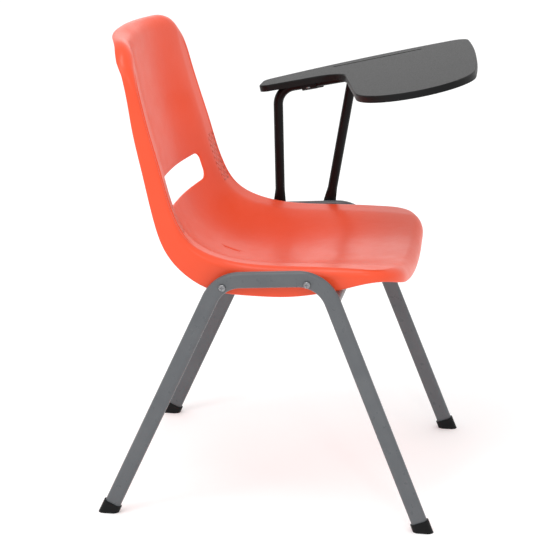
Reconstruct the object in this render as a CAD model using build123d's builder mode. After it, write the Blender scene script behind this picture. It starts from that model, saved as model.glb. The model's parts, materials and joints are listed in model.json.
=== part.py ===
from build123d import *
from math import acos, atan2, cos, degrees, radians, sin
import os

# Student desk chair: one-piece plastic shell on two bent side frames, with a flip-up tablet arm
# on the sitter's left. Millimetres, +Z up, the sitter faces -Y, sitter's left is +X.
# The origin is on the floor, at the middle of the whole chair's footprint box.

# ---------------------------------------------------------------- driving dimensions
MID_X = -58.0            # chair's own centre plane; the tablet arm moves the box centre off it

# side frames: flat-oval tube bent to an inverted U, both planes leaning in towards the top
TUBE_LONG = 28.0
TUBE_SHORT = 14.0
TUBE_WALL = 1.5
FLOOR_HALF_TRACK = 256.5
BAR_HALF_TRACK = 246.4
BAR_HEIGHT = 430.0       # height at which BAR_HALF_TRACK is measured
REAR_FOOT_Y = 290.7
FRONT_FOOT_Y = -257.2
REAR_BEND = (94.9, 425.0)
FRONT_BEND = (-81.6, 436.5)
FRAME_BEND_RADIUS = 60.0
TUBE_END_HEIGHT = 10.0

# cross tubes welded between the legs, under the pan
CROSS_DIAMETER = 22.0
WELD_GAP = 0.02
FRONT_CROSS = (-97.5, 394.0)
REAR_CROSS = (111.0, 389.0)

# glides
GLIDE_LONG = 33.0
GLIDE_SHORT = 19.5
GLIDE_LIP = 8.0
GLIDE_CLEARANCE = 0.1
PLUG_LENGTH = 18.0

# seat shell: sections across the rim line; the rim line runs from the top of the back to the front lip
WALL = 4.5
RIM_RADIUS = 12.0
SHELL_HALF_WIDTH = 230.0
RIM_LINE = [(257, 820), (222.5, 676), (199.5, 599), (177.5, 527), (150, 482), (99, 456.5), (20, 447), (-65, 448),
            (-142, 447), (-190, 444), (-222, 439)]
# place along the rim line, half width, depth of the dish, depth of the skirt
STATIONS = [
    (0.00, 211, 30, 28),
    (0.08, 212, 34, 18),
    (0.20, 218, 38, 22),
    (0.32, 224, 42, 27),
    (0.42, 228, 45, 32),
    (0.50, SHELL_HALF_WIDTH, 46, 44),
    (0.56, SHELL_HALF_WIDTH, 48, 53),
    (0.63, SHELL_HALF_WIDTH, 46, 51),
    (0.72, SHELL_HALF_WIDTH, 40, 49),
    (0.80, SHELL_HALF_WIDTH, 32, 41),
    (0.86, 229, 27, 30),
    (0.90, 228, 24, 21),
    (0.94, 228, 21, 17),
    (1.00, 228, 17, 24),
]
DISH_POWER = 1.4
SLAB_REACH = 150.0       # past both faces of the shell
TOP_CORNER_RADIUS = 77.0
TOP_CROWN = 14.0
FRONT_CORNER_RADIUS = 80.0
FRONT_BOW = 16.0
SLOT_PLACE = 0.3945      # along the rim line, middle of the lumbar slot
SLOT_LENGTH = 288.0
SLOT_HEIGHT = 50.0
SLOT_CORNER = 17.0
SLOT_REACH = 100.0
DRAIN_Y = 118.0
DRAIN_LENGTH = 27.0
DRAIN_WIDTH = 6.0

# seat screws through the side frames, spacers and bosses
SCREW_PLACES = [(87.7, 414.4), (-55.6, 426.4)]
SCREW_DIAMETER = 6.0
SCREW_LENGTH = 34.0
HEAD_DIAMETER = 12.0
HEAD_HEIGHT = 3.6
BOSS_DIAMETER = 19.0
BOSS_LENGTH = 20.0
INSERT_DIAMETER = 9.0
INSERT_LENGTH = 13.0
SPACER_DIAMETER = 14.0
RECESS_WIDTH = 1.3
FACE_GAP = 0.2           # between faces that are bolted together
THREAD_GAP = 0.04

# tablet support: rear tube and top run in one bent tube, a front strut welded under the run
SUPPORT_DIAMETER = 18.0
SUPPORT_WALL = 1.5
SUPPORT_X = MID_X + 262.0
TABLET_SLOPE = 11.5      # degrees the run rises towards the front
AXIS_Y = 40.0
AXIS_Z = 662.7           # height of the run's centre line at AXIS_Y
SUPPORT_BOLTS = [(72.5, 426.4), (-21.3, 432.3)]
REAR_SUPPORT_CORNER_Y = 77.5
STRUT_TOP = 105.8        # along the run from AXIS_Y
RUN_END = 158.0
SUPPORT_BEND_RADIUS = 36.0
PLATE_WIDTH = 23.0
PLATE_THICKNESS = 3.2
PLATE_TOP = 14.0         # plate's straight part above its bolt
NECK = 22.0              # length over which the plate grows into the round tube
WASHER_THICKNESS = 1.2
NUT_ACROSS_FLATS = 10.0
NUT_HEIGHT = 5.0
SUPPORT_BOLT_LENGTH = 25.0

# tablet: outline in (forward along the slope, outward) from the hinge axis
TABLET_TOP = 17.0        # top face above the hinge axis
TABLET_EDGE = 12.0
TABLET_SKIN = 4.0
TABLET_WALL = 3.0
TABLET_ROUND = 2.4
ARM_REAR = -67.0
ARM_NEAR = -46.0
ARM_FAR = 24.0
ARM_CORNER_RADIUS = 22.0
FAR_EDGE_MIDDLE = (130.0, 90.0)
FRONT_CORNER = (316.0, 116.0)
FRONT_CORNER_ROUND = 34.0
FRONT_EDGE_MIDDLE = (346.0, -80.0)
HOLLOW_CORNER = (96.0, -42.0)
HOLLOW_RADIUS = 60.0
LAP_END_CENTRE = (254.0, -280.0)
LAP_END_RADIUS = 105.0
RIB = 2.4
RIB_PITCH = 42.0
RIB_SETBACK = 1.5        # ribs stop short of the edge's lower face
GROOVE_MIDDLE = (150.0, 54.0)
GROOVE_LENGTH = 172.0
GROOVE_WIDTH = 6.0
GROOVE_DEPTH = 1.8
GROOVE_ANGLE = 11.2
STRUT_LANE = 32.0        # width left free for the strut under the flipped tablet
REAR_LANE = 34.0         # and for the rear leg

# hinge: two saddles, each a cradle in the tablet and a cap below, and a stop pin through the run
SADDLES = [22.0, 136.0]
SADDLE_LENGTH = 28.0
SADDLE_RADIUS = 12.0
SADDLE_HALF_WIDTH = 22.0
CAP_FLANGE = 3.5
CAP_SCREW = 17.5
CAP_SCREW_DIAMETER = 4.0
CAP_SCREW_LENGTH = 13.0
HINGE_CLEARANCE = 0.06
STOP_PLACE = 42.0
STOP_PIN_DIAMETER = 5.0
STOP_BLOCK = 9.0
STOP_GAP = 0.3

os.makedirs("parts", exist_ok=True)


def write(builder, label):
    builder.part.label = label
    export_step(builder.part, f"parts/{label}.step")


# ---------------------------------------------------------------- side frames
def frame_plane(side):
    """Plane of one side frame: local x is row Y, local y runs up the leaning frame."""
    lean = side * (BAR_HALF_TRACK - FLOOR_HALF_TRACK)
    return Plane(origin=(MID_X + side * FLOOR_HALF_TRACK, 0, 0), x_dir=(0, 1, 0), z_dir=(BAR_HEIGHT, 0, -lean))


def half_track(height):
    return FLOOR_HALF_TRACK + (BAR_HALF_TRACK - FLOOR_HALF_TRACK) * height / BAR_HEIGHT


def leg_point(foot_y, bend, height):
    """Point on a leg's centre line at a height, in (y, height)."""
    return foot_y + (bend[0] - foot_y) * height / bend[1], height


def side_frame(side):
    plane = frame_plane(side)
    with BuildPart() as frame:
        with BuildLine(plane) as path:
            FilletPolyline(
                leg_point(REAR_FOOT_Y, REAR_BEND, TUBE_END_HEIGHT),
                REAR_BEND,
                FRONT_BEND,
                leg_point(FRONT_FOOT_Y, FRONT_BEND, TUBE_END_HEIGHT),
                radius=FRAME_BEND_RADIUS,
            )
        start = path.line % 0
        with BuildSketch(Plane(origin=path.line @ 0, x_dir=start.cross(plane.z_dir), z_dir=start)):
            SlotOverall(TUBE_LONG, TUBE_SHORT)
            SlotOverall(TUBE_LONG - 2 * TUBE_WALL, TUBE_SHORT - 2 * TUBE_WALL, mode=Mode.SUBTRACT)
        sweep()
        places = SCREW_PLACES + (SUPPORT_BOLTS if side > 0 else [])
        with BuildSketch(Plane.YZ.offset(MID_X + side * BAR_HALF_TRACK)):
            with Locations(*places):
                Circle(SCREW_DIAMETER / 2 + FACE_GAP)
        extrude(amount=TUBE_SHORT, both=True, mode=Mode.SUBTRACT)
    return frame


right_side_frame = side_frame(-1)
write(right_side_frame, "right_side_frame")
left_side_frame = side_frame(1)
write(left_side_frame, "left_side_frame")


# ---------------------------------------------------------------- cross tubes
def cross_tube(place):
    y, z = place
    with BuildPart() as tube:
        with BuildSketch(Plane.YZ.offset(MID_X)):
            with Locations((y, z)):
                Circle(CROSS_DIAMETER / 2)
                Circle(CROSS_DIAMETER / 2 - TUBE_WALL, mode=Mode.SUBTRACT)
        extrude(amount=half_track(z), both=True)
        for side in (-1, 1):
            face = frame_plane(side).offset(-side * (TUBE_SHORT / 2 + WELD_GAP))
            split(bisect_by=face, keep=Keep.BOTTOM if side > 0 else Keep.TOP)
    return tube


front_cross_tube = cross_tube(FRONT_CROSS)
write(front_cross_tube, "front_cross_tube")
rear_cross_tube = cross_tube(REAR_CROSS)
write(rear_cross_tube, "rear_cross_tube")


# ---------------------------------------------------------------- glides
def floor_glide(side, foot_y, bend):
    plane = frame_plane(side)
    end = plane.from_local_coords(Vector(*leg_point(foot_y, bend, TUBE_END_HEIGHT)))
    up = (plane.from_local_coords(Vector(*bend)) - end).normalized()
    seat = Plane(origin=end, x_dir=up.cross(plane.z_dir), z_dir=up)
    with BuildPart() as glide:
        with BuildSketch(seat.offset(-2 * TUBE_END_HEIGHT)):
            SlotOverall(GLIDE_LONG, GLIDE_SHORT)
        extrude(amount=2 * TUBE_END_HEIGHT + GLIDE_LIP)
        with BuildSketch(seat):
            SlotOverall(TUBE_LONG + 2 * GLIDE_CLEARANCE, TUBE_SHORT + 2 * GLIDE_CLEARANCE)
        extrude(amount=GLIDE_LIP, mode=Mode.SUBTRACT)
        inner = 2 * (TUBE_WALL + GLIDE_CLEARANCE)
        with BuildSketch(seat):
            SlotOverall(TUBE_LONG - inner, TUBE_SHORT - inner)
        extrude(amount=PLUG_LENGTH)
        split(bisect_by=Plane.XY, keep=Keep.TOP)
    return glide


for side, hand in ((-1, "right"), (1, "left")):
    for foot_y, bend, end in ((REAR_FOOT_Y, REAR_BEND, "rear"), (FRONT_FOOT_Y, FRONT_BEND, "front")):
        floor_glide_body = floor_glide(side, foot_y, bend)
        write(floor_glide_body, f"{end}_{hand}_glide")


# ---------------------------------------------------------------- seat shell
with BuildLine(Plane.YZ.offset(MID_X)) as rim_line:
    Spline(*RIM_LINE)
rim = rim_line.edge()


def section_plane(place):
    return Plane(origin=rim @ place, x_dir=(1, 0, 0), z_dir=rim % place)


def section_points(half_width, dish, drop, steps=12):
    """Points of one dished curve, level at the middle and at both rims."""
    flat = half_width - RIM_RADIUS
    points = []
    for i in range(steps + 1):
        f = 2 * i / steps - 1
        lift = (1 + cos(radians(180) * abs(f) ** DISH_POWER)) / 2
        points.append((flat * f, -drop - dish * lift))
    return points


def end_waste(place, half_width, corner_radius, crown, inset):
    """What is cut off the slab's end, seen square to the rim: outside a crowned edge with two round corners."""
    inward = rim % place * (1 if place == 0 else -1)
    side = crown + inset
    low = side + 2 * corner_radius
    reach = side + corner_radius
    with BuildSketch() as outline:
        with BuildLine():
            ThreePointArc((-half_width, side), (0, inset), (half_width, side))
            Polyline((half_width, side), (half_width, low), (-half_width, low), (-half_width, side))
        make_face()
        fillet(outline.vertices().sort_by(Axis.Y)[:2], corner_radius)
    with BuildSketch(Plane(origin=rim @ place, x_dir=(1, 0, 0), z_dir=Vector(1, 0, 0).cross(inward))) as waste:
        Rectangle(3 * half_width, 2 * reach)
        add(outline.sketch, mode=Mode.SUBTRACT)
    return waste.sketch


def shell_solid(inset, deeper):
    """Slab under the sitting surface, smaller by inset all round and lower by deeper at its underside."""
    top_waste = end_waste(0, STATIONS[0][1] - inset, TOP_CORNER_RADIUS - inset, TOP_CROWN, inset)
    front_waste = end_waste(1, STATIONS[-1][1] - inset, FRONT_CORNER_RADIUS - inset, FRONT_BOW, inset)
    with BuildPart() as slab:
        for place, half_width, dish, skirt in STATIONS:
            place = min(max(place, inset / rim.length), 1 - inset / rim.length)
            width = half_width - inset
            top = section_points(half_width, dish, inset)
            low = section_points(half_width, dish, skirt + deeper)
            edge = -inset - (RIM_RADIUS - inset)
            corner = (RIM_RADIUS - inset) * (1 - cos(radians(45)))
            with BuildSketch(section_plane(place)):
                with BuildLine():
                    Spline(*top, tangents=((1, 0), (1, 0)))
                    ThreePointArc(top[-1], (width - corner, -inset - corner), (width, edge))
                    Line((width, edge), (width, low[-1][1]))
                    Polyline((width, low[-1][1]), low[-1])
                    Spline(*low)
                    Polyline((-width, low[0][1]), low[0])
                    Line((-width, edge), (-width, low[0][1]))
                    ThreePointArc(top[0], (-width + corner, -inset - corner), (-width, edge))
                make_face()
        loft()
        extrude(top_waste.faces() + front_waste.faces(), amount=SLAB_REACH, both=True, mode=Mode.SUBTRACT)
    return slab


seat_outer = shell_solid(0, 0)
seat_inner = shell_solid(WALL, 4 * WALL)
with BuildPart() as seat_shell:
    add(seat_outer.part)
    add(seat_inner.part, mode=Mode.SUBTRACT)
    for side in (-1, 1):
        with BuildSketch(Plane.YZ.offset(MID_X + side * (SHELL_HALF_WIDTH - WALL / 2))):
            with Locations(*SCREW_PLACES):
                Circle(BOSS_DIAMETER / 2)
        extrude(amount=-side * BOSS_LENGTH)
        with BuildSketch(Plane.YZ.offset(MID_X + side * SHELL_HALF_WIDTH)):
            with Locations(*SCREW_PLACES):
                Circle(INSERT_DIAMETER / 2)
        extrude(amount=-side * INSERT_LENGTH, both=True, mode=Mode.SUBTRACT)
    slot_plane = section_plane(SLOT_PLACE)
    with BuildSketch(Plane(origin=slot_plane.origin, x_dir=(1, 0, 0), z_dir=slot_plane.y_dir)):
        RectangleRounded(SLOT_LENGTH, SLOT_HEIGHT, SLOT_CORNER)
    extrude(amount=SLOT_REACH, both=True, mode=Mode.SUBTRACT)
    with BuildSketch(Plane.XY.offset(AXIS_Y)):
        with Locations((MID_X, DRAIN_Y)):
            SlotOverall(DRAIN_LENGTH, DRAIN_WIDTH, rotation=90)
    extrude(amount=AXIS_Z, mode=Mode.SUBTRACT)
write(seat_shell, "seat_shell")


# ---------------------------------------------------------------- seat fixings
def pan_screws(places, face_x, side, length):
    """Cross-recess pan-head screws pointing in towards the centre plane, heads on face_x."""
    head = Plane.YZ.offset(face_x + side * HEAD_HEIGHT)
    with BuildPart() as screws:
        with BuildSketch(Plane.YZ.offset(face_x)):
            with Locations(*places):
                Circle(HEAD_DIAMETER / 2)
        extrude(amount=side * HEAD_HEIGHT)
        ends = screws.faces().group_by(Axis.X)
        fillet((ends[-1] if side > 0 else ends[0]).edges(), HEAD_HEIGHT / 2)
        with BuildSketch(Plane.YZ.offset(face_x)):
            with Locations(*places):
                Circle(SCREW_DIAMETER / 2)
        extrude(amount=-side * length)
        with BuildSketch(head):
            with Locations(*places):
                Rectangle(HEAD_DIAMETER / 2, RECESS_WIDTH)
                Rectangle(RECESS_WIDTH, HEAD_DIAMETER / 2)
        extrude(amount=-side * HEAD_HEIGHT / 2, mode=Mode.SUBTRACT)
    return screws


def sleeves(places, x_from, x_to, outer, inner):
    with BuildPart() as rings:
        with BuildSketch(Plane.YZ.offset(x_from)):
            with Locations(*places):
                Circle(outer / 2)
                Circle(inner / 2, mode=Mode.SUBTRACT)
        extrude(amount=x_to - x_from)
    return rings


low_bolt_z = SUPPORT_BOLTS[0][1] - PLATE_WIDTH / 2
frame_outer = half_track(SCREW_PLACES[0][1]) + TUBE_SHORT / 2
frame_inner = half_track(SCREW_PLACES[1][1]) - TUBE_SHORT / 2

for side, hand in ((-1, "right"), (1, "left")):
    seat_screws = pan_screws(SCREW_PLACES, MID_X + side * (frame_outer + FACE_GAP), side, SCREW_LENGTH)
    write(seat_screws, f"{hand}_seat_screws")
    seat_spacers = sleeves(SCREW_PLACES, MID_X + side * (SHELL_HALF_WIDTH + 2 * FACE_GAP),
                           MID_X + side * (frame_inner - FACE_GAP), SPACER_DIAMETER, SCREW_DIAMETER + 2 * FACE_GAP)
    write(seat_spacers, f"{hand}_seat_spacers")
    seat_inserts = sleeves(SCREW_PLACES, MID_X + side * (SHELL_HALF_WIDTH - FACE_GAP),
                           MID_X + side * (SHELL_HALF_WIDTH - INSERT_LENGTH + FACE_GAP),
                           INSERT_DIAMETER - THREAD_GAP, SCREW_DIAMETER + THREAD_GAP)
    write(seat_inserts, f"{hand}_seat_inserts")


# ---------------------------------------------------------------- tablet support
slope = radians(TABLET_SLOPE)
forward = Vector(0, -cos(slope), sin(slope))
hinge = Vector(SUPPORT_X, AXIS_Y, AXIS_Z)
side_plane = Plane.YZ.offset(SUPPORT_X)
plate_face = half_track(low_bolt_z) + TUBE_SHORT / 2 + FACE_GAP
run_rear = hinge + forward * ((AXIS_Y - REAR_SUPPORT_CORNER_Y) / cos(slope))
run_end = hinge + forward * RUN_END
strut_top = hinge + forward * STRUT_TOP


def flat_end(bolt, leg_up):
    """Tube end pressed flat against the side frame, growing into the round leg above it."""
    centre = Vector(MID_X + plate_face + PLATE_THICKNESS / 2, *bolt)
    round_start = Vector(SUPPORT_X, *bolt) + leg_up * (PLATE_TOP + NECK)
    with BuildPart() as end:
        with BuildSketch(Plane(origin=centre, x_dir=leg_up, z_dir=(1, 0, 0))):
            Circle(PLATE_WIDTH / 2)
            with Locations((PLATE_TOP / 2, 0)):
                Rectangle(PLATE_TOP, PLATE_WIDTH)
            Circle(SCREW_DIAMETER / 2 + FACE_GAP, mode=Mode.SUBTRACT)
        extrude(amount=PLATE_THICKNESS / 2, both=True)
        with BuildSketch(Plane(origin=centre + leg_up * PLATE_TOP, x_dir=(1, 0, 0), z_dir=leg_up)):
            RectangleRounded(PLATE_THICKNESS, PLATE_WIDTH, PLATE_THICKNESS / 3)
        with BuildSketch(Plane(origin=round_start, x_dir=(1, 0, 0), z_dir=leg_up)):
            Circle(SUPPORT_DIAMETER / 2)
        loft()
    return end.part, round_start


rear_bolt = Vector(SUPPORT_X, *SUPPORT_BOLTS[0])
rear_up = (run_rear - rear_bolt).normalized()
rear_end, rear_round_start = flat_end(SUPPORT_BOLTS[0], rear_up)
with BuildPart() as tablet_support_tube:
    with BuildLine(side_plane) as support_path:
        FilletPolyline(*[(p.Y, p.Z) for p in (rear_round_start, run_rear, run_end)], radius=SUPPORT_BEND_RADIUS)
    with BuildSketch(Plane(origin=rear_round_start, z_dir=rear_up)):
        Circle(SUPPORT_DIAMETER / 2)
        Circle(SUPPORT_DIAMETER / 2 - SUPPORT_WALL, mode=Mode.SUBTRACT)
    sweep()
    add(rear_end)
    with BuildSketch(Plane(origin=hinge + forward * STOP_PLACE, z_dir=(-1, 0, 0))):
        Circle(STOP_PIN_DIAMETER / 2 + THREAD_GAP)
    extrude(amount=SUPPORT_DIAMETER, mode=Mode.SUBTRACT)
write(tablet_support_tube, "tablet_support_tube")

front_bolt = Vector(SUPPORT_X, *SUPPORT_BOLTS[1])
strut_up = (strut_top - front_bolt).normalized()
front_end, strut_round_start = flat_end(SUPPORT_BOLTS[1], strut_up)
with BuildPart() as tablet_support_strut:
    with BuildSketch(Plane(origin=strut_round_start, z_dir=strut_up)):
        Circle(SUPPORT_DIAMETER / 2)
        Circle(SUPPORT_DIAMETER / 2 - SUPPORT_WALL, mode=Mode.SUBTRACT)
    extrude(amount=(strut_top - strut_round_start).length - 2 * SUPPORT_WALL)
    add(front_end)
    with BuildSketch(Plane(origin=strut_top, z_dir=forward)):
        Circle(SUPPORT_DIAMETER / 2 + WELD_GAP)
    extrude(amount=2 * SUPPORT_DIAMETER, both=True, mode=Mode.SUBTRACT)
write(tablet_support_strut, "tablet_support_strut")

with BuildPart() as run_end_plug:
    with BuildSketch(Plane(origin=run_end + forward * WELD_GAP, z_dir=forward)):
        Circle(SUPPORT_DIAMETER / 2)
    extrude(amount=2 * SUPPORT_WALL)
    fillet(run_end_plug.edges().sort_by(Axis.Z)[-1], SUPPORT_WALL)
    with BuildSketch(Plane(origin=run_end + forward * WELD_GAP, z_dir=-forward)):
        Circle(SUPPORT_DIAMETER / 2 - SUPPORT_WALL - THREAD_GAP)
    extrude(amount=SUPPORT_DIAMETER / 2)
write(run_end_plug, "run_end_plug")

with BuildPart() as tilt_stop_pin:
    with BuildSketch(Plane(origin=hinge + forward * STOP_PLACE, z_dir=(-1, 0, 0))):
        Circle(STOP_PIN_DIAMETER / 2)
    extrude(amount=SADDLE_RADIUS + SUPPORT_WALL)
write(tilt_stop_pin, "tilt_stop_pin")

washer_face = MID_X + plate_face + PLATE_THICKNESS + FACE_GAP / 2
support_washers = sleeves(SUPPORT_BOLTS, washer_face, washer_face + WASHER_THICKNESS, HEAD_DIAMETER + 1,
                          SCREW_DIAMETER + FACE_GAP)
write(support_washers, "support_washers")
support_bolts = pan_screws(SUPPORT_BOLTS, washer_face + WASHER_THICKNESS + FACE_GAP / 2, 1, SUPPORT_BOLT_LENGTH)
write(support_bolts, "support_bolts")
nut_face = half_track(SUPPORT_BOLTS[1][1] + NUT_ACROSS_FLATS) - TUBE_SHORT / 2
with BuildPart() as support_nuts:
    with BuildSketch(Plane.YZ.offset(MID_X + nut_face)):
        with Locations(*SUPPORT_BOLTS):
            RegularPolygon(NUT_ACROSS_FLATS / 2, 6, major_radius=False)
            Circle((SCREW_DIAMETER + THREAD_GAP) / 2, mode=Mode.SUBTRACT)
    extrude(amount=-NUT_HEIGHT)
write(support_nuts, "support_nuts")


# ---------------------------------------------------------------- tablet and its hinge
def tablet_plane(height=0.0):
    """Plane at a height above the hinge axis: local x runs forward, local y outward."""
    return Plane(origin=hinge, x_dir=forward, z_dir=(0, sin(slope), cos(slope))).offset(height)


def across_plane(place):
    """Plane square to the hinge axis: local x outward, local y up from the axis, normal forward."""
    return Plane(origin=hinge + forward * place, x_dir=(1, 0, 0), z_dir=forward)


def tablet_outline(inset=0.0):
    """The arm at the rear widens through a hollow corner into the writing board across the lap."""
    centre = Vector(*LAP_END_CENTRE)
    to_hollow = Vector(*HOLLOW_CORNER) - centre
    turn = degrees(acos(LAP_END_RADIUS / to_hollow.length))
    lap_start = centre + to_hollow.normalized().rotate(Axis.Z, turn) * LAP_END_RADIUS
    lap_front = centre + Vector(LAP_END_RADIUS, 0)
    with BuildSketch() as outline:
        with BuildLine():
            Line((ARM_REAR, ARM_NEAR), (ARM_REAR, ARM_FAR))
            ThreePointArc((ARM_REAR, ARM_FAR), FAR_EDGE_MIDDLE, FRONT_CORNER)
            ThreePointArc(FRONT_CORNER, FRONT_EDGE_MIDDLE, lap_front)
            ThreePointArc(lap_front, centre - Vector(0, LAP_END_RADIUS), lap_start)
            Polyline(lap_start, HOLLOW_CORNER, (ARM_REAR, ARM_NEAR))
        make_face()
        fillet(outline.vertices().group_by(Axis.X)[0], ARM_CORNER_RADIUS)
        fillet(outline.vertices().sort_by_distance(FRONT_CORNER)[0], FRONT_CORNER_ROUND)
        fillet(outline.vertices().sort_by_distance(HOLLOW_CORNER)[0], HOLLOW_RADIUS)
        if inset:
            offset(amount=-inset)
    return outline.sketch


def leg_lanes(mode):
    """Strips of the board that come down past the two legs of the support when it is flipped over."""
    normal = tablet_plane().z_dir
    for leg_top, leg_up, width in ((strut_top, strut_up, STRUT_LANE), (run_rear, rear_up, REAR_LANE)):
        lean = degrees(atan2(leg_up.dot(forward), leg_up.dot(normal)))
        with Locations(((leg_top - hinge).dot(forward), 0)):
            Rectangle(width, 2 * LAP_END_RADIUS, rotation=lean, align=(Align.CENTER, Align.MIN), mode=mode)


board_low = TABLET_TOP - TABLET_EDGE
skin_low = TABLET_TOP - TABLET_SKIN
with BuildPart() as tablet_board:
    with BuildSketch(tablet_plane(board_low)):
        add(tablet_outline())
    extrude(amount=TABLET_EDGE)
    fillet(tablet_board.faces().sort_by(Axis(hinge, tablet_plane().z_dir))[-1].edges(), TABLET_ROUND)
    with BuildSketch(tablet_plane(board_low)):
        add(tablet_outline(TABLET_WALL))
    extrude(amount=TABLET_EDGE - TABLET_SKIN, mode=Mode.SUBTRACT)
    with BuildSketch(tablet_plane(board_low + RIB_SETBACK)):
        with GridLocations(RIB_PITCH, 1, 11, 1):
            with Locations((LAP_END_CENTRE[0] - 2 * RIB_PITCH, LAP_END_CENTRE[1] / 2)):
                Rectangle(RIB, 6 * LAP_END_RADIUS)
        with GridLocations(1, RIB_PITCH, 1, 14):
            with Locations((LAP_END_CENTRE[0] / 2, LAP_END_CENTRE[1] / 2)):
                Rectangle(6 * LAP_END_RADIUS, RIB)
        add(tablet_outline(TABLET_WALL / 2), mode=Mode.INTERSECT)
        with Locations((RUN_END / 2 - SADDLE_RADIUS, 0)):
            Rectangle(RUN_END + 6 * SADDLE_RADIUS, 2 * SADDLE_HALF_WIDTH, mode=Mode.SUBTRACT)
        leg_lanes(Mode.SUBTRACT)
    extrude(amount=TABLET_EDGE - TABLET_SKIN - RIB_SETBACK / 2)
    with BuildSketch(tablet_plane(board_low - 1)):
        leg_lanes(Mode.ADD)
    extrude(amount=skin_low - board_low + 1, mode=Mode.SUBTRACT)
    for place in SADDLES:
        with BuildSketch(across_plane(place - SADDLE_LENGTH / 2)):
            with Locations((0, skin_low / 2 + FACE_GAP)):
                Rectangle(2 * SADDLE_HALF_WIDTH, skin_low)
        extrude(amount=SADDLE_LENGTH)
    with BuildSketch(across_plane(STOP_PLACE - STOP_BLOCK / 2)):
        with Locations((0, (skin_low + STOP_PIN_DIAMETER / 2 + STOP_GAP + 1) / 2)):
            Rectangle(2 * SADDLE_HALF_WIDTH, skin_low - STOP_PIN_DIAMETER / 2 - STOP_GAP + 1)
    extrude(amount=STOP_BLOCK)
    for place in SADDLES:
        with BuildSketch(across_plane(place - SADDLE_LENGTH)):
            Circle(SUPPORT_DIAMETER / 2 + HINGE_CLEARANCE)
        extrude(amount=2 * SADDLE_LENGTH, mode=Mode.SUBTRACT)
        with BuildSketch(tablet_plane()):
            with Locations((place, -CAP_SCREW), (place, CAP_SCREW)):
                Circle(CAP_SCREW_DIAMETER / 2 + THREAD_GAP / 2)
        extrude(amount=CAP_SCREW_LENGTH - CAP_FLANGE + 1, mode=Mode.SUBTRACT)
    with BuildSketch(tablet_plane(TABLET_TOP)):
        with Locations(GROOVE_MIDDLE):
            SlotOverall(GROOVE_LENGTH, GROOVE_WIDTH, rotation=GROOVE_ANGLE)
    extrude(amount=-GROOVE_DEPTH, mode=Mode.SUBTRACT)
write(tablet_board, "tablet_board")


def saddle_cap(place, with_stop):
    clear = STOP_PIN_DIAMETER / 2 + STOP_GAP
    with BuildPart() as cap:
        with BuildSketch(across_plane(place - SADDLE_LENGTH / 2)):
            Circle(SADDLE_RADIUS)
            with Locations((0, -CAP_FLANGE / 2)):
                Rectangle(2 * SADDLE_HALF_WIDTH, CAP_FLANGE)
            with Locations((0, SADDLE_RADIUS)):
                Rectangle(3 * SADDLE_RADIUS, 2 * SADDLE_RADIUS, mode=Mode.SUBTRACT)
            Circle(SUPPORT_DIAMETER / 2 + HINGE_CLEARANCE, mode=Mode.SUBTRACT)
        extrude(amount=SADDLE_LENGTH)
        if with_stop:
            with BuildSketch(across_plane(place + SADDLE_LENGTH / 2)):
                with Locations(((SADDLE_RADIUS + clear) / 2, -SADDLE_RADIUS / 2)):
                    Rectangle(SADDLE_RADIUS - clear, SADDLE_RADIUS)
                Circle(SUPPORT_DIAMETER / 2 + HINGE_CLEARANCE, mode=Mode.SUBTRACT)
            extrude(amount=STOP_PLACE + STOP_BLOCK / 2 - place - SADDLE_LENGTH / 2)
        with BuildSketch(tablet_plane()):
            with Locations((place, -CAP_SCREW), (place, CAP_SCREW)):
                Circle(CAP_SCREW_DIAMETER / 2 + FACE_GAP)
        extrude(amount=-2 * CAP_FLANGE, mode=Mode.SUBTRACT)
    return cap


def cap_screws():
    places = [(place, hand * CAP_SCREW) for place in SADDLES for hand in (-1, 1)]
    head_face = -CAP_FLANGE - FACE_GAP / 2
    with BuildPart() as screws:
        with BuildSketch(tablet_plane(head_face)):
            with Locations(*places):
                Circle(CAP_SCREW_DIAMETER)
        extrude(amount=-CAP_SCREW_DIAMETER / 2)
        with BuildSketch(tablet_plane(head_face)):
            with Locations(*places):
                Circle(CAP_SCREW_DIAMETER / 2)
        extrude(amount=CAP_SCREW_LENGTH)
    return screws


rear_hinge_cap = saddle_cap(SADDLES[0], True)
write(rear_hinge_cap, "rear_hinge_cap")
front_hinge_cap = saddle_cap(SADDLES[1], False)
write(front_hinge_cap, "front_hinge_cap")
hinge_cap_screws = cap_screws()
write(hinge_cap_screws, "hinge_cap_screws")
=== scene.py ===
"""Student desk chair with a flip-up tablet arm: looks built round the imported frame. Metres, +Z up."""
import json
import math
import random

import bmesh
import bpy
import numpy as np
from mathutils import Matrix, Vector


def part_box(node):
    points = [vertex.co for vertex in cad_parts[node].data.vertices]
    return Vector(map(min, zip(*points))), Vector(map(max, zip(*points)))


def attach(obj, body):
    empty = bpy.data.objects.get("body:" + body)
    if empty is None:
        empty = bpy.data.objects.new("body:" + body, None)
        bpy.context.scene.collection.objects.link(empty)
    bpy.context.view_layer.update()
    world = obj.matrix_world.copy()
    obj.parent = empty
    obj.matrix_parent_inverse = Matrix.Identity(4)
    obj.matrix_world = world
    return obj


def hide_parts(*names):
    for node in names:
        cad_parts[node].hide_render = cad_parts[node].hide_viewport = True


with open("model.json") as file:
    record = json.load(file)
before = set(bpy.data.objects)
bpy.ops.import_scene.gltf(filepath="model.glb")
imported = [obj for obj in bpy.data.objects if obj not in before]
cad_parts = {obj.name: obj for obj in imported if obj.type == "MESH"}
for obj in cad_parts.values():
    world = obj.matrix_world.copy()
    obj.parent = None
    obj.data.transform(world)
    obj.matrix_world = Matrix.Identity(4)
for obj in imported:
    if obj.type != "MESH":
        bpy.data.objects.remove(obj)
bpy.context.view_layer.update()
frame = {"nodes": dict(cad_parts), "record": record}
nodes = frame["nodes"]
MM = 0.001
HANDS = ((-1, "right"), (1, "left"))

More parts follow.
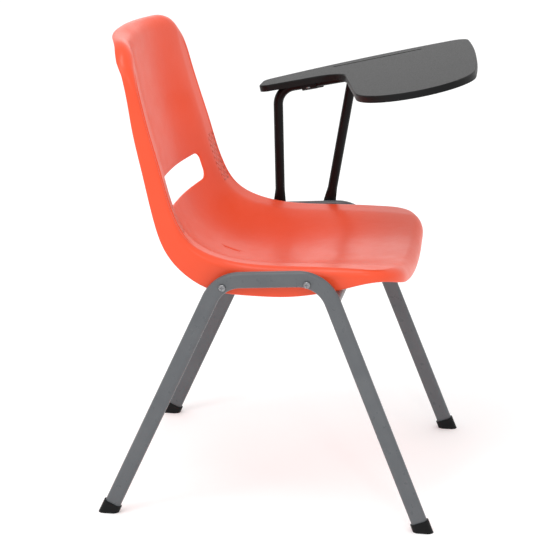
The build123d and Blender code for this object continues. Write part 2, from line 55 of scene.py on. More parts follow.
# ---------------------------------------------------------------- camera, light and floor
CAMERA_PLACE = (-3.4456, -0.5191, 1.3578)
CAMERA_AIM = (-0.058, 0.040, 0.3668)
CAMERA_LENS = 130.5
FLOOR_REACH = 60.0
# name, place, point it faces, width and height, watts
SOFTBOXES = [
    ("key", (-2.4, 1.4, 2.8), (0, 0, 0.6), (1.2, 1.2), 14),
    ("top", (-0.9, 0.3, 3.2), (-0.2, 0, 0.4), (0.5, 1.5), 16),
    ("far", (2.6, 0.45, 1.25), (0, -0.1, 0.4), (1.4, 0.8), 2),
    ("spark", (-2.5, -0.6, 2.1), (0, -0.1, 0.5), (0.25, 0.25), 5),
]


def placed(name, data, place, target):
    """A camera or lamp at a place, facing a point."""
    obj = bpy.data.objects.new(name, data)
    bpy.context.scene.collection.objects.link(obj)
    obj.location = place
    obj.rotation_mode = "QUATERNION"
    obj.rotation_quaternion = (Vector(target) - Vector(place)).to_track_quat("-Z", "Y")
    return obj


def view_and_light():
    scene = bpy.context.scene
    scene.view_settings.view_transform = "Standard"
    scene.view_settings.look = "None"

    camera = bpy.data.cameras.new("camera")
    camera.sensor_width = 36
    camera.lens = CAMERA_LENS
    camera.clip_end = 100
    scene.camera = placed("camera", camera, CAMERA_PLACE, CAMERA_AIM)

    scene.world = bpy.data.worlds.new("studio")
    scene.world.use_nodes = True
    background = scene.world.node_tree.nodes["Background"]
    background.inputs["Color"].default_value = (1.0, 1.0, 1.0, 1)
    background.inputs["Strength"].default_value = 1.0

    for name, place, target, size, power in SOFTBOXES:
        lamp = bpy.data.lights.new(name, "AREA")
        lamp.shape = "RECTANGLE"
        lamp.size, lamp.size_y = size
        lamp.energy = power
        placed(name, lamp, place, target)


def floor():
    mesh = bpy.data.meshes.new("floor")
    corners = [(x * FLOOR_REACH, y * FLOOR_REACH, 0) for x, y in ((-1, -1), (1, -1), (1, 1), (-1, 1))]
    mesh.from_pydata(corners, [], [(0, 1, 2, 3)])
    obj = bpy.data.objects.new("floor", mesh)
    bpy.context.scene.collection.objects.link(obj)
    paint = bpy.data.materials.new("floor_paint")
    paint.use_nodes = True
    shader = paint.node_tree.nodes["Principled BSDF"]
    shader.inputs["Base Color"].default_value = (0.97, 0.97, 0.97, 1)
    shader.inputs["Roughness"].default_value = 0.8
    shader.inputs["Specular IOR Level"].default_value = 0.1
    shader.inputs["Emission Color"].default_value = (1.0, 1.0, 1.0, 1)
    shader.inputs["Emission Strength"].default_value = 0.10
    mesh.materials.append(paint)


view_and_light()
floor()

# ---------------------------------------------------------------- materials
# chevrons beside the slot: where they are, in metres out from the middle line and down the rim line
CHEVRONS_ACROSS, ACROSS_FADE = (0.183, 0.214), 0.003
CHEVRONS_ALONG, ALONG_FADE = (0.248, 0.340), 0.004
CHEVRON_WIDTH = 0.0078
CHEVRON_PITCH = 0.0115
CHEVRON_RELIEF = 0.0045


class Look:
    """One node material, built a step at a time on a Principled shader."""

    def __init__(self, name, roughness, **sockets):
        self.material = bpy.data.materials.new(name)
        self.material.use_nodes = True
        self.tree = self.material.node_tree
        self.shader = self.tree.nodes["Principled BSDF"]
        self.shader.inputs["Roughness"].default_value = roughness
        for key, value in sockets.items():
            self.shader.inputs[key.replace("_", " ")].default_value = value
        self.place = self.node("ShaderNodeTexCoord").outputs["Object"]
        self.relief = None

    def node(self, kind, inputs=None, **settings):
        """A new node; an input is a value, or the socket that feeds it."""
        made = self.tree.nodes.new(kind)
        for key, value in settings.items():
            setattr(made, key, value)
        for key, value in (inputs or {}).items():
            if isinstance(value, bpy.types.NodeSocket):
                self.tree.links.new(value, made.inputs[key])
            else:
                made.inputs[key].default_value = value
        return made

    def math(self, operation, *values):
        return self.node("ShaderNodeMath", dict(enumerate(values)), operation=operation).outputs[0]

    def noise(self, scale, detail=3.0, stretch=None):
        place = self.place
        if stretch:
            place = self.node("ShaderNodeMapping", {"Vector": place, "Scale": stretch}).outputs[0]
        inputs = {"Vector": place, "Scale": scale, "Detail": detail, "Roughness": 0.55}
        return self.node("ShaderNodeTexNoise", inputs).outputs["Fac"]

    def pebbles(self, scale):
        inputs = {"Vector": self.place, "Scale": scale}
        return self.node("ShaderNodeTexVoronoi", inputs, feature="SMOOTH_F1").outputs["Distance"]

    def spread(self, value, low, high, out_low, out_high):
        inputs = {"Value": value, "From Min": low, "From Max": high, "To Min": out_low, "To Max": out_high}
        return self.node("ShaderNodeMapRange", inputs).outputs[0]

    def band(self, value, low, high, fade):
        """1 between low and high, fading to 0 at both ends."""
        rise = self.spread(value, low, low + fade, 0, 1)
        return self.math("MULTIPLY", rise, self.spread(value, high - fade, high, 1, 0))

    def colours(self, value, *stops):
        """Base colour from a ramp; each stop is (place, colour)."""
        ramp = self.node("ShaderNodeValToRGB", {"Fac": value})
        points = ramp.color_ramp.elements
        while len(points) < len(stops):
            points.new(0.5)
        for point, (place, colour) in zip(points, stops):
            point.position = place
            point.color = (*colour, 1)
        self.tree.links.new(ramp.outputs["Color"], self.shader.inputs["Base Color"])

    def rough(self, noise, low, high):
        """Roughness that drifts from low to high with a noise."""
        self.tree.links.new(self.spread(noise, 0.3, 0.7, low, high), self.shader.inputs["Roughness"])

    def bump(self, height, depth):
        """Adds one layer of relief; depth is in metres."""
        inputs = {"Height": height, "Strength": 1.0, "Distance": depth}
        if self.relief:
            inputs["Normal"] = self.relief
        self.relief = self.node("ShaderNodeBump", inputs).outputs["Normal"]
        self.tree.links.new(self.relief, self.shader.inputs["Normal"])


def shell_plastic():
    look = Look("shell_plastic", 0.36, Specular_IOR_Level=0.34)
    look.colours(look.noise(7, 2), (0.3, (0.765, 0.071, 0.022)), (0.7, (0.805, 0.081, 0.027)))
    look.rough(look.noise(38, 4), 0.29, 0.36)
    look.bump(look.noise(1400, 2), 0.00003)
    look.bump(look.noise(60, 2), 0.00025)
    chevrons(look)
    return look.material


def chevrons(look):
    """Shallow moulded arrow marks in the margins beside the lumbar slot."""
    flat = look.node("ShaderNodeUVMap", uv_map="shell").outputs[0]
    flat = look.node("ShaderNodeSeparateXYZ", {"Vector": flat})
    across = look.math("ABSOLUTE", flat.outputs[0])
    along = flat.outputs[1]
    phase = look.math("SUBTRACT", along, look.math("PINGPONG", across, CHEVRON_WIDTH))
    wave = look.math("SINE", look.math("MULTIPLY", phase, 2 * math.pi / CHEVRON_PITCH))
    ridge = look.spread(wave, 0.1, 0.7, 0.0, 1.0)
    ends = look.band(along, *CHEVRONS_ALONG, ALONG_FADE)
    sides = look.band(across, *CHEVRONS_ACROSS, ACROSS_FADE)
    look.bump(look.math("MULTIPLY", ridge, look.math("MULTIPLY", ends, sides)), CHEVRON_RELIEF)


def coat(name, dark, light, roughness, gloss):
    """Powder coat: fine orange peel, small drifts of colour and gloss."""
    look = Look(name, roughness, Specular_IOR_Level=gloss)
    look.colours(look.noise(24, 4), (0.3, dark), (0.72, light))
    look.rough(look.noise(90), roughness - 0.04, roughness + 0.05)
    look.bump(look.noise(900, 2), 0.00004)
    look.bump(look.noise(230, 2), 0.00006)
    return look.material


def grained(name, dark, light, roughness, scale, depth):
    """Moulded plastic with a pebbled tool grain."""
    look = Look(name, roughness, Specular_IOR_Level=0.12)
    look.colours(look.noise(16, 5), (0.3, dark), (0.74, light))
    look.rough(look.noise(400), roughness - 0.05, roughness + 0.05)
    look.bump(look.pebbles(scale), depth)
    look.bump(look.noise(scale * 1.7, 2), depth * 0.5)
    return look.material


def metal(name, dark, light, roughness, stretch):
    """Bare or plated metal with fine lines drawn out along one axis."""
    look = Look(name, roughness, Metallic=1.0)
    look.colours(look.noise(300), (0.3, dark), (0.7, light))
    look.rough(look.noise(500, stretch=stretch), roughness - 0.08, roughness + 0.12)
    look.bump(look.noise(1600, stretch=stretch), 0.00003)
    return look.material


LOOKS = {
    "shell": shell_plastic(),
    "frame": coat("frame_coat", (0.100, 0.106, 0.114), (0.116, 0.122, 0.129), 0.30, 0.28),
    "support": coat("support_coat", (0.0035, 0.0035, 0.0038), (0.006, 0.006, 0.0065), 0.34, 0.14),
    "glide": grained("glide_plastic", (0.006, 0.006, 0.0065), (0.010, 0.010, 0.0105), 0.48, 1300, 0.00008),
    "board": grained("board_plastic", (0.007, 0.0072, 0.0076), (0.009, 0.0092, 0.0096), 0.46, 1500, 0.00004),
    "hinge": grained("hinge_plastic", (0.006, 0.006, 0.0065), (0.010, 0.010, 0.0105), 0.44, 1300, 0.00006),
    "zinc": metal("zinc_plate", (0.20, 0.20, 0.21), (0.32, 0.32, 0.33), 0.26, (1, 6, 6)),
    "insert": metal("turned_brass", (0.62, 0.42, 0.15), (0.76, 0.55, 0.24), 0.32, (1, 5, 5)),
}

for part in frame["record"]["subparts"]:
    node = nodes[part["node"]]
    node.data.materials.clear()
    node.data.materials.append(LOOKS[part["material_slot"]])
    for polygon in node.data.polygons:
        polygon.material_index = 0


# ---------------------------------------------------------------- mesh helpers
def mesh_piece(name, verts, faces, slot, uv=None):
    """A smooth-shaded closed mesh piece in its record finish, riding on the chair."""
    mesh = bpy.data.meshes.new(name)
    mesh.from_pydata([tuple(map(float, v)) for v in verts], [], [tuple(map(int, f)) for f in faces])
    if uv is not None:
        layer = mesh.uv_layers.new(name="shell")
        corners = np.empty(len(mesh.loops), np.int64)
        mesh.loops.foreach_get("vertex_index", corners)
        layer.data.foreach_set("uv", np.asarray(uv, np.float32)[corners].ravel())
    mesh.polygons.foreach_set("use_smooth", [True] * len(mesh.polygons))
    made = bmesh.new()
    made.from_mesh(mesh)
    bmesh.ops.recalc_face_normals(made, faces=made.faces)
    made.to_mesh(mesh)
    made.free()
    obj = bpy.data.objects.new(name, mesh)
    bpy.context.scene.collection.objects.link(obj)
    mesh.materials.append(LOOKS[slot])
    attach(obj, "chair")
    return obj


def unit(vectors):
    """Each row at length 1."""
    return vectors / np.linalg.norm(vectors, axis=1, keepdims=True)


def chords(loop):
    """From the point before to the point after, at each point of a closed loop."""
    return np.roll(loop, -1, 0) - np.roll(loop, 1, 0)


def run_length(line):
    """Distance along a line of points, at each of them."""
    return np.concatenate([[0], np.cumsum(np.linalg.norm(np.diff(line, axis=0), axis=1))])


def resample(line, places):
    """Points of an open line at fractions of its length."""
    run = run_length(line)
    return np.stack([np.interp(places * run[-1], run, column) for column in line.T], -1)


# ---------------------------------------------------------------- seat shell: its shape, in millimetres
WALL = 4.5
# (y, z) down the rim from the middle of the top edge to the front lip
RIM_LINE = [(257, 820), (222.5, 676), (199.5, 599), (177.5, 527), (150, 482), (99, 456.5), (20, 447),
            (-65, 448), (-142, 447), (-190, 444), (-222, 439)]
# place along the rim line, half width, depth of the dish, depth of the skirt
STATIONS = [
    (0.00, 211, 30, 28),
    (0.08, 212, 34, 18),
    (0.20, 218, 38, 22),
    (0.32, 224, 42, 27),
    (0.42, 228, 45, 32),
    (0.50, 230, 46, 44),
    (0.56, 230, 48, 53),
    (0.63, 230, 46, 51),
    (0.72, 230, 40, 49),
    (0.80, 230, 32, 41),
    (0.86, 229, 27, 30),
    (0.90, 228, 24, 21),
    (0.94, 226, 21, 17),
    (1.00, 222, 17, 24),
]
HALF_WIDTH, DISH, SKIRT = 1, 2, 3
# place along the rim line, radius of the rolled edge
ROLLS = [(0.0, 25), (0.05, 22), (0.12, 7), (0.20, 5), (0.42, 6), (0.52, 12), (0.62, 15), (0.80, 15),
         (0.90, 11), (0.95, 13), (1.0, 24)]
# the dish: part of its half width where the margin starts, power of its curve, distance from the edge
MARGIN_START, DISH_POWER, DISH_INSET = 0.85, 1.40, 12.0
# the ends: corner radius, or its reach across and along, then the bow and the half width it is measured over
TOP_CORNER, TOP_CROWN, TOP_HALF = 77.0, 14.0, 208.0
FRONT_CORNER_ACROSS, FRONT_CORNER_ALONG, FRONT_BOW, FRONT_HALF = 92.0, 70.0, 16.0, 228.0
# the lumbar slot runs across the back, the drain slot down the seat
SLOT_PLACE, SLOT_ACROSS, SLOT_ALONG, SLOT_CORNER = 0.3945, 288.0, 50.0, 17.0
DRAIN_Y, DRAIN_ACROSS, DRAIN_ALONG, DRAIN_CORNER = 118.0, 6.0, 27.0, 2.9
# places along the rim line between which the drain slot lies
DRAIN_SEARCH = (0.4, 0.7)
# the margin's ridge and groove: distance in from the rolled edge, half width, height
RIDGE_PLACE, RIDGE_SPREAD, RIDGE_HEIGHT = 5.4, 0.9, 1.0
GROOVE_PLACE, GROOVE_SPREAD, GROOVE_DEPTH = 3.0, 1.1, 1.3
# places along the rim line between which they rise, stay and die away
BEAD_PLACES = (0.06, 0.13, 0.44, 0.50)

seat_low, seat_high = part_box("seat_shell")
MID_X = (seat_low.x + seat_high.x) / 2 / MM


def natural_spline(knots, values, at):
    """Cubic through the values at the knots, straight at both ends."""
    t, p = np.asarray(knots, float), np.asarray(values, float)
    h = np.diff(t)
    system = np.eye(len(t))
    bend = np.zeros_like(p)
    for i in range(1, len(t) - 1):
        system[i, i - 1:i + 2] = h[i - 1], 2 * (h[i - 1] + h[i]), h[i]
        bend[i] = 6 * ((p[i + 1] - p[i]) / h[i] - (p[i] - p[i - 1]) / h[i - 1])
    m = np.linalg.solve(system, bend)
    i = np.clip(np.searchsorted(t, at, side="right") - 1, 0, len(h) - 1)
    a, b, width = t[i + 1] - at, at - t[i], h[i]
    if p.ndim > 1:
        a, b, width = a[:, None], b[:, None], width[:, None]
    cubic = (m[i] * a ** 3 + m[i + 1] * b ** 3) / (6 * width)
    return cubic + (p[i] / width - m[i] * width / 6) * a + (p[i + 1] / width - m[i + 1] * width / 6) * b


class Rim:
    """The rim line, read by distance from the top of the back."""

    def __init__(self, points, samples=3000):
        knots = run_length(points)
        self.line = natural_spline(knots, points, np.linspace(0, knots[-1], samples))
        self.s = run_length(self.line)
        self.length = self.s[-1]
        self.slope = np.gradient(self.line, self.s, axis=0)

    def at(self, s):
        """(y, z) and the unit direction towards the sitter, (y, z)."""
        y, z = (np.interp(s, self.s, column) for column in self.line.T)
        dy, dz = (np.interp(s, self.s, column) for column in self.slope.T)
        size = np.hypot(dy, dz)
        return y, z, dz / size, -dy / size


rim = Rim(RIM_LINE)


def station(column, s):
    """Half width, depth of the dish or depth of the skirt at distance s down the rim."""
    stations = np.array(STATIONS, float)
    return natural_spline(stations[:, 0] * rim.length, stations[:, column], s)


def roll_radius(s):
    """Radius of the rolled edge at distance s down the rim."""
    rolls = np.array(ROLLS, float)
    return np.interp(s, rolls[:, 0] * rim.length, rolls[:, 1])


def dish(s, x):
    """Height of the sitting surface against the rim: a hollow with a soft crease at its margin."""
    f = np.minimum(np.abs(x) / (station(HALF_WIDTH, s) - DISH_INSET), 1)
    inner = (1 + np.cos(np.pi * np.minimum(f, MARGIN_START) ** DISH_POWER)) / 2
    margin = (1 - np.maximum(f, MARGIN_START)) / (1 - MARGIN_START)
    return -station(DISH, s) * inner * margin


def surface(s, x, h):
    """Points at distance s down the rim, x across and h towards the sitter from the rim."""
    y, z, toward_y, toward_z = rim.at(s)
    return np.stack([MID_X + x, y + toward_y * h, z + toward_z * h], -1)


def drain_place():
    """Distance down the rim of the drain slot's middle, at the bottom of the hollow."""
    first, last = (rim.length * part for part in DRAIN_SEARCH)
    s = np.linspace(first, last, 400)
    y = surface(s, 0 * s, dish(s, 0 * s))[:, 1]
    return float(np.interp(DRAIN_Y, y[::-1], s[::-1]))


def shell_outline(points=2400, smoothing=120):
    """Closed edge of the shell laid flat, as (s, x), from the middle of the top round by +x."""
    quarter = np.linspace(0, np.pi / 2, 60)[1:]
    top_x = np.linspace(0, station(HALF_WIDTH, np.array([TOP_CORNER]))[0] - TOP_CORNER, 80)
    top_s = TOP_CROWN * (top_x / TOP_HALF) ** 2
    corner_s = top_s[-1] + TOP_CORNER * (1 - np.cos(quarter))
    corner_x = top_x[-1] + TOP_CORNER * np.sin(quarter)
    front_half = station(HALF_WIDTH, np.array([rim.length - FRONT_CORNER_ALONG]))[0]
    front_x = np.linspace(front_half - FRONT_CORNER_ACROSS, 0, 80)
    front_s = rim.length - FRONT_BOW * (front_x / FRONT_HALF) ** 2
    low_s = front_s[0] - FRONT_CORNER_ALONG * (1 - np.sin(quarter))
    low_x = front_x[0] + FRONT_CORNER_ACROSS * np.cos(quarter)
    side_s = np.linspace(corner_s[-1], low_s[0], 300)[1:-1]
    half_s = np.concatenate([top_s, corner_s, side_s, low_s, front_s[1:]])
    half_x = np.concatenate([top_x, corner_x, station(HALF_WIDTH, side_s), low_x, front_x[1:]])
    half = np.stack([half_s, half_x], -1)
    loop = np.concatenate([half, half[-2:0:-1] * (1, -1)])
    loop = resample(np.concatenate([loop, loop[:1]]), np.linspace(0, 1, points + 1))[:-1]
    for _ in range(smoothing):
        loop = (np.roll(loop, 1, 0) + 2 * loop + np.roll(loop, -1, 0)) / 4
    return loop


# ---------------------------------------------------------------- seat shell: its mesh, in millimetres
ROWS_ABOVE, ROWS_BESIDE, ROWS_BELOW = 46, 12, 82
ROWS, COLUMNS = ROWS_ABOVE + ROWS_BESIDE + ROWS_BELOW, 88
SLOT_COLUMN, SLOT_COLUMNS = 13, 62
DRAIN_ROWS, DRAIN_COLUMNS = 8, 4
BORDER_INSET = 8.0
RELAXATIONS = 400
# rings between the grid and the rolled edge, as distances in from that edge
MARGIN_RINGS = (6.6, 6.0, 5.4, 4.7, 4.1, 3.5, 3.0, 2.4, 1.8, 1.0)
ROLL_ANGLES = np.radians(np.linspace(0, 90, 9))
# rings down the skirt, as parts of its depth below the rolled edge
SKIRT_RINGS = (0.15, 0.35, 0.6, 0.8, 0.92, 1.0)
SKIRT_LEAST = 2.0
EDGE_ANGLES = np.radians((36, 72, 108, 144))


def rounded_slot(across, along, corner, columns, rows, arc_points=24):
    """Closed loop of (s, x) round a slot's centre, from its (-s, -x) corner and going by +x."""
    arc = np.linspace(0, np.pi / 2, arc_points)
    arcs = []
    for turn, (end, hand) in enumerate([(-1, -1), (-1, 1), (1, 1), (1, -1)]):
        centre = np.array([end * (along / 2 - corner), hand * (across / 2 - corner)])
        angle = arc + turn * np.pi / 2
        arcs.append(centre + corner * np.stack([-np.sin(angle), -np.cos(angle)], -1))
    loop = np.roll(np.concatenate(arcs), -arc_points // 2, 0)
    loop = np.concatenate([loop, loop[:1]])
    run = run_length(loop)
    corners = [run[arc_points * k] for k in range(4)] + [run[-1]]
    sides = []
    for k, count in enumerate((columns, rows, columns, rows)):
        at = np.linspace(corners[k], corners[k + 1], count + 1)[:-1]
        sides.append(np.stack([np.interp(at, run, column) for column in loop.T], -1))
    return np.concatenate(sides)


def perimeter(row, column, rows, columns):
    """Grid indices round a block, from its first corner and along the columns first."""
    top = [(row, column + j) for j in range(columns)]
    right = [(row + i, column + columns) for i in range(rows)]
    bottom = [(row + rows, column + columns - j) for j in range(columns)]
    left = [(row + rows - i, column) for i in range(rows)]
    return tuple(np.array(top + right + bottom + left).T)


def grid_corners(outline):
    """Outline indices of the grid's four corners, at the middles of the corner arcs."""
    tangent = unit(chords(outline))
    found = []
    for direction, end, hand in (((-1, 1), -1, -1), ((1, 1), -1, 1), ((1, -1), 1, 1), ((-1, -1), 1, -1)):
        score = tangent @ np.array(direction, float)
        score[(outline[:, 0] - rim.length / 2) * end < 0] = -np.inf
        score[outline[:, 1] * hand < 0] = -np.inf
        found.append(int(np.argmax(score)))
    return found


def row_places(low, high, slot_s):
    """Fractions of the way from low to high that put grid rows level with the slot's edges."""
    first = (slot_s - SLOT_ALONG / 2 - low) / (high - low)
    last = (slot_s + SLOT_ALONG / 2 - low) / (high - low)
    above = np.linspace(0, first, ROWS_ABOVE + 1)
    beside = np.linspace(first, last, ROWS_BESIDE + 1)[1:]
    below = np.linspace(last, 1, ROWS_BELOW + 1)[1:]
    return np.concatenate([above, beside, below])


def spaced_edge(outline, corners, across, down):
    """Points round the outline, one for each step of the grid's border, and their inward directions."""
    inward = unit(chords(outline))[:, ::-1] * (1, -1)
    both = np.concatenate([outline, inward], -1)
    sides = []
    for k, places in enumerate((across, down, across, 1 - down[::-1])):
        first, last = corners[k], corners[(k + 1) % 4]
        if last < first:
            last += len(outline)
        sides.append(resample(both[np.arange(first, last + 1) % len(outline)], places)[:-1])
    edge = np.concatenate(sides)
    return edge[:, :2], unit(edge[:, 2:])


def blended_grid(border, across, down):
    """Grid of (s, x) points blended from the four sides of its border."""
    grid = np.zeros((ROWS + 1, COLUMNS + 1, 2))
    grid[perimeter(0, 0, ROWS, COLUMNS)] = border
    u, v = down[:, None, None], across[None, :, None]
    sides = (1 - u) * grid[:1] + u * grid[-1:] + (1 - v) * grid[:, :1] + v * grid[:, -1:]
    corners = (1 - u) * (1 - v) * grid[0, 0] + (1 - u) * v * grid[0, -1] + u * (1 - v) * grid[-1, 0]
    return sides - (corners + u * v * grid[-1, -1])


def relax(grid, fixed):
    """Evens out the grid round the closed loops that are fixed, given as (indices, points)."""
    for _ in range(RELAXATIONS):
        grid[1:-1, 1:-1] = (grid[:-2, 1:-1] + grid[2:, 1:-1] + grid[1:-1, :-2] + grid[1:-1, 2:]) / 4
        for cells, points in fixed:
            grid[cells] = points


def grid_quads(number, holes):
    """The grid's quads, without those in its holes."""
    solid = np.ones((ROWS, COLUMNS), bool)
    for row, column, rows, columns in holes:
        solid[row:row + rows, column:column + columns] = False
    i, j = np.nonzero(solid)
    return np.stack([number[i, j], number[i, j + 1], number[i + 1, j + 1], number[i + 1, j]], -1)


def band(before, after):
    """Quads between two closed rows of points."""
    return np.stack([before, after, np.roll(after, -1), np.roll(before, -1)], -1)


def rim_rings(s):
    """Rings over the margin, round the rolled edge and down the skirt: (distance in, height) of each."""
    roll = roll_radius(s)
    drop = np.maximum(station(SKIRT, s), roll + SKIRT_LEAST) - roll
    bead = np.interp(s / rim.length, BEAD_PLACES, (0, 1, 1, 0))
    rings = []
    for out in MARGIN_RINGS:
        ridge = RIDGE_HEIGHT * math.exp(-((out - RIDGE_PLACE) / RIDGE_SPREAD) ** 2)
        groove = GROOVE_DEPTH * math.exp(-((out - GROOVE_PLACE) / GROOVE_SPREAD) ** 2)
        rings.append((roll + out, bead * (ridge - groove)))
    for angle in ROLL_ANGLES:
        rings.append((roll * (1 - math.sin(angle)), -roll * (1 - math.cos(angle))))
    for part in SKIRT_RINGS:
        rings.append((np.zeros_like(roll), -roll - drop * part))
    return rings


def vertex_normals(points, quads):
    """Unit normals of a quad surface at its points, weighted by area."""
    a, b, c, d = (points[quads[:, i]] for i in range(4))
    face = np.cross(c - a, d - b)
    total = np.zeros_like(points)
    for i in range(4):
        np.add.at(total, quads[:, i], face)
    return total / np.maximum(np.linalg.norm(total, axis=1, keepdims=True), 1e-9)


def half_round(outer, inner, normal, toward):
    """Rows of points round the edge between two loops, bulging the way that toward points."""
    away = np.cross(chords(outer), normal)
    away = unit(away * np.sign((away * toward).sum()))
    centre, half = (outer + inner) / 2, (outer - inner) / 2
    return [centre + half * math.cos(angle) + away * (WALL / 2 * math.sin(angle)) for angle in EDGE_ANGLES]


def thickened(outer, flat, quads, normal, edges):
    """Points, their flat places and faces of a closed wall under a surface. An edge is (loop, way out)."""
    inner = outer - normal * WALL
    points, flats = [outer, inner], [flat, flat]
    faces = [quads, quads[:, ::-1] + len(outer)]
    count = 2 * len(outer)
    for loop, toward in edges:
        before = loop
        for row in half_round(outer[loop], inner[loop], normal[loop], toward):
            after = np.arange(count, count + len(loop))
            points.append(row)
            flats.append(flat[loop])
            faces.append(band(before, after))
            before = after
            count += len(loop)
        faces.append(band(before, loop + len(outer)))
    return np.concatenate(points), np.concatenate(flats), np.concatenate(faces)


def seat_shell():
    """The moulded shell: a grid with two holes, rings round its rim, and the wall under them."""
    outline = shell_outline()
    corners = grid_corners(outline)
    slot_s, drain_s = SLOT_PLACE * rim.length, drain_place()
    across = np.linspace(0, 1, COLUMNS + 1)
    down = row_places(*sorted(outline[corners[1:3], 0]), slot_s)
    edge, inward = spaced_edge(outline, corners, across, down)
    border_at = edge + inward * (roll_radius(edge[:, 0]) + BORDER_INSET)[:, None]
    grid = blended_grid(border_at, across, down)

    row_s = down * (grid[-1, 0, 0] - grid[0, 0, 0]) + grid[0, 0, 0]
    drain_row = int(np.argmin(np.abs(row_s - drain_s))) - DRAIN_ROWS // 2
    slot_block = (ROWS_ABOVE, SLOT_COLUMN, ROWS_BESIDE, SLOT_COLUMNS)
    drain_block = (drain_row, (COLUMNS - DRAIN_COLUMNS) // 2, DRAIN_ROWS, DRAIN_COLUMNS)
    border, slot, drain = (perimeter(*block) for block in ((0, 0, ROWS, COLUMNS), slot_block, drain_block))
    slot_at = rounded_slot(SLOT_ACROSS, SLOT_ALONG, SLOT_CORNER, SLOT_COLUMNS, ROWS_BESIDE) + (slot_s, 0)
    drain_at = rounded_slot(DRAIN_ACROSS, DRAIN_ALONG, DRAIN_CORNER, DRAIN_COLUMNS, DRAIN_ROWS) + (drain_s, 0)
    relax(grid, [(border, border_at), (slot, slot_at), (drain, drain_at)])

    number = np.arange((ROWS + 1) * (COLUMNS + 1)).reshape(ROWS + 1, COLUMNS + 1)
    flat = [grid.reshape(-1, 2)]
    height = [dish(*flat[0].T)]
    quads = [grid_quads(number, (slot_block, drain_block))]
    last, count = number[border], number.size
    for distance, rise in rim_rings(edge[:, 0]):
        at = edge + inward * distance[:, None]
        flat.append(at)
        height.append(dish(*at.T) + rise)
        ring = np.arange(count, count + len(at))
        quads.append(band(last, ring))
        last, count = ring, count + len(at)
    flat, height, quads = (np.concatenate(rows) for rows in (flat, height, quads))

    outer = surface(*flat.T, height)
    normal = vertex_normals(outer, quads)
    seat_middle = number[ROWS * 3 // 4, COLUMNS // 2]
    if normal[seat_middle, 2] < 0:
        normal = -normal
    edges = [(last, outer[last] - outer[last - len(last)])]
    for loop in (number[slot], number[drain]):
        edges.append((loop, outer[loop].mean(0) - outer[loop]))
    points, flats, faces = thickened(outer, flat, quads, normal, edges)
    used, faces = np.unique(faces, return_inverse=True)
    uv = flats[used][:, ::-1] * MM
    piece = mesh_piece("moulded_shell", points[used] * MM, faces.reshape(-1, 4), "shell", uv)
    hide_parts("seat_shell")


seat_shell()

# ---------------------------------------------------------------- screw bosses, in millimetres
BOSS_RADIUS, BOSS_REACH, INSERT_RADIUS = 9.5, 20.0, 4.5
BOSS_MOUTH = BOSS_REACH + WALL / 2
# distance in from the skirt, radius: a flared root, a draughted post, a rounded mouth and the bore
BOSS_PROFILE = [
    (WALL / 2, BOSS_RADIUS + 2.4),
    (WALL + 0.6, BOSS_RADIUS + 0.9),
    (WALL + 2.4, BOSS_RADIUS + 0.2),
    (BOSS_MOUTH - 1.6, BOSS_RADIUS - 0.3),
    (BOSS_MOUTH - 0.5, BOSS_RADIUS - 0.7),
    (BOSS_MOUTH, BOSS_RADIUS - 1.5),
    (BOSS_MOUTH, INSERT_RADIUS + 0.7),
    (BOSS_MOUTH - 0.7, INSERT_RADIUS),
    (WALL / 2, INSERT_RADIUS),
    (WALL / 2, BOSS_RADIUS + 2.4),
]


def tube_quads(rings, sides, closed=False):
    """Faces between rings of points laid end to end; a closed tube joins its last ring to its first."""
    faces = []
    for ring in range(rings if closed else rings - 1):
        here, there = ring * sides, (ring + 1) % rings * sides
        for k in range(sides):
            after = (k + 1) % sides
            faces.append((here + k, here + after, there + after, there + k))
    return faces


def turned(name, centre, axis, profile, slot, sides=48):
    """A lathe-turned piece: profile is (distance along the axis, radius) in millimetres."""
    across = axis.orthogonal().normalized()
    other = axis.cross(across)
    verts = []
    for along, radius in profile:
        for k in range(sides):
            angle = 2 * math.pi * k / sides
            spoke = across * math.cos(angle) + other * math.sin(angle)
            verts.append(centre + MM * (axis * along + radius * spoke))
    mesh_piece(name, verts, tube_quads(len(profile), sides), slot)


def separate_places(node):
    """Middles of the separate solids in a CAD node, in metres, from front to back."""
    made = bmesh.new()
    made.from_mesh(nodes[node].data)
    bmesh.ops.remove_doubles(made, verts=made.verts, dist=1e-6)
    left, places = set(made.verts), []
    while left:
        island, stack = [], [left.pop()]
        while stack:
            vert = stack.pop()
            island.append(vert.co.copy())
            for edge in vert.link_edges:
                other = edge.other_vert(vert)
                if other in left:
                    left.remove(other)
                    stack.append(other)
        low = Vector([min(co[i] for co in island) for i in range(3)])
        high = Vector([max(co[i] for co in island) for i in range(3)])
        places.append((low + high) / 2)
    made.free()
    return sorted(places, key=lambda place: place.y)


def seat_bosses():
    """Screw bosses inside the skirt, one round each insert."""
    half = max(half for _, half, _, _ in STATIONS) * MM
    for side, hand in HANDS:
        for count, place in enumerate(separate_places(f"{hand}_seat_inserts")):
            skirt = Vector((MID_X * MM + side * half, place.y, place.z))
            turned(f"{hand}_boss_{count + 1}", skirt, Vector((-side, 0, 0)), BOSS_PROFILE, "shell")


seat_bosses()

# ---------------------------------------------------------------- welds, in millimetres
# radius of a bead on the frame and on the strut, and how far inside the tube's end the first one lies
TUBE_BEAD, STRUT_BEAD = 2.0, 1.7
TUBE_BEAD_INSET = 1.2
# the ripple: pitch of the drops, the least and most of their sizes, and the dip between two
DROP_PITCH, DROP_SIZES, DROP_DIP = 1.6, (0.9, 1.08), 0.14
BEAD_SIDES = 10
BEAD_TURN = np.linspace(0, 2 * math.pi, 360, endpoint=False)


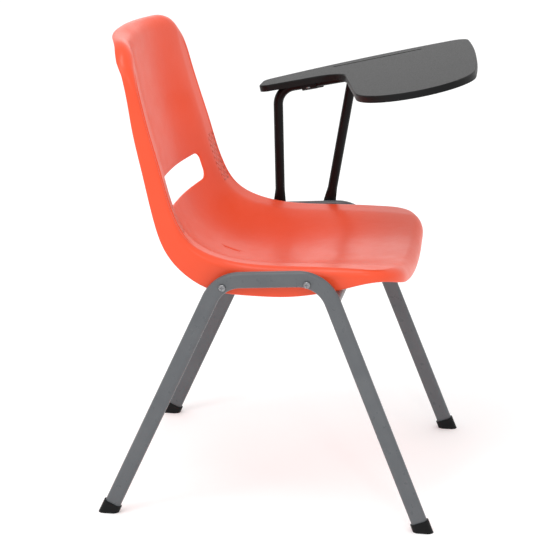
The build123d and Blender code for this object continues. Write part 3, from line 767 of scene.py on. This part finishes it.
def weld(name, loop, radius, slot, seed):
    """A weld bead along a closed loop of points in metres, rippled like stacked drops."""
    roll = random.Random(seed)
    loop = np.array([tuple(p) for p in loop])
    along = unit(chords(loop))
    out = loop - loop.mean(0)
    out = unit(out - (out * along).sum(1, keepdims=True) * along)
    up = np.cross(along, out)
    drops = int(run_length(loop)[-1] / (DROP_PITCH * MM))
    sizes = [roll.uniform(*DROP_SIZES) for _ in range(drops)]
    verts = []
    for k, (centre, o, u) in enumerate(zip(loop, out, up)):
        at = k / len(loop) * drops
        swell = 1 - DROP_DIP + DROP_DIP * math.sqrt(abs(math.sin(math.pi * at)))
        size = radius * MM * sizes[int(at) % drops] * swell
        for j in range(BEAD_SIDES):
            angle = 2 * math.pi * j / BEAD_SIDES
            verts.append(centre + size * (o * math.cos(angle) + u * math.sin(angle)))
    mesh_piece(name, verts, tube_quads(len(loop), BEAD_SIDES, closed=True), slot)


def cross_tube_welds():
    for end in ("front", "rear"):
        low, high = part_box(f"{end}_cross_tube")
        centre = (low + high) / 2
        radius = min(high.y - low.y, high.z - low.z) / 2
        for side, hand in HANDS:
            x = (low.x if side < 0 else high.x) - side * TUBE_BEAD_INSET * MM
            loop = [Vector((x, centre.y + radius * math.cos(t), centre.z + radius * math.sin(t)))
                    for t in BEAD_TURN]
            weld(f"{end}_{hand}_weld", loop, TUBE_BEAD, "frame", 11)


def strut_weld():
    """Bead where the strut's round top meets the run: the saddle curve of two equal tubes."""
    low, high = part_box("tablet_support_strut")
    joint = frame["record"]["behaviour"]["joints"][0]
    hinge, run = Vector(joint["pos_m"]), Vector(joint["axis"])
    sideways = Vector((1, 0, 0))
    if run.y > 0:
        run = -run
    up = sideways.cross(run)
    if up.z < 0:
        up = -up
    radius = (high.x - low.x) / 2
    front_bolt = separate_places("support_bolts")[0]
    foot = Vector(((low.x + high.x) / 2, front_bolt.y, front_bolt.z))
    top = hinge + run * ((low.y + radius - hinge.y) / run.y)
    leg = (top - foot).normalized()
    lean = (run - leg * run.dot(leg)).normalized()
    loop = []
    for t in BEAD_TURN:
        spoke = radius * (lean * math.cos(t) + sideways * math.sin(t))
        reach = (-radius * abs(math.cos(t)) - spoke.dot(up)) / leg.dot(up)
        loop.append(top + spoke + leg * reach)
    weld("strut_weld", loop, STRUT_BEAD, "support", 5)


cross_tube_welds()
strut_weld()
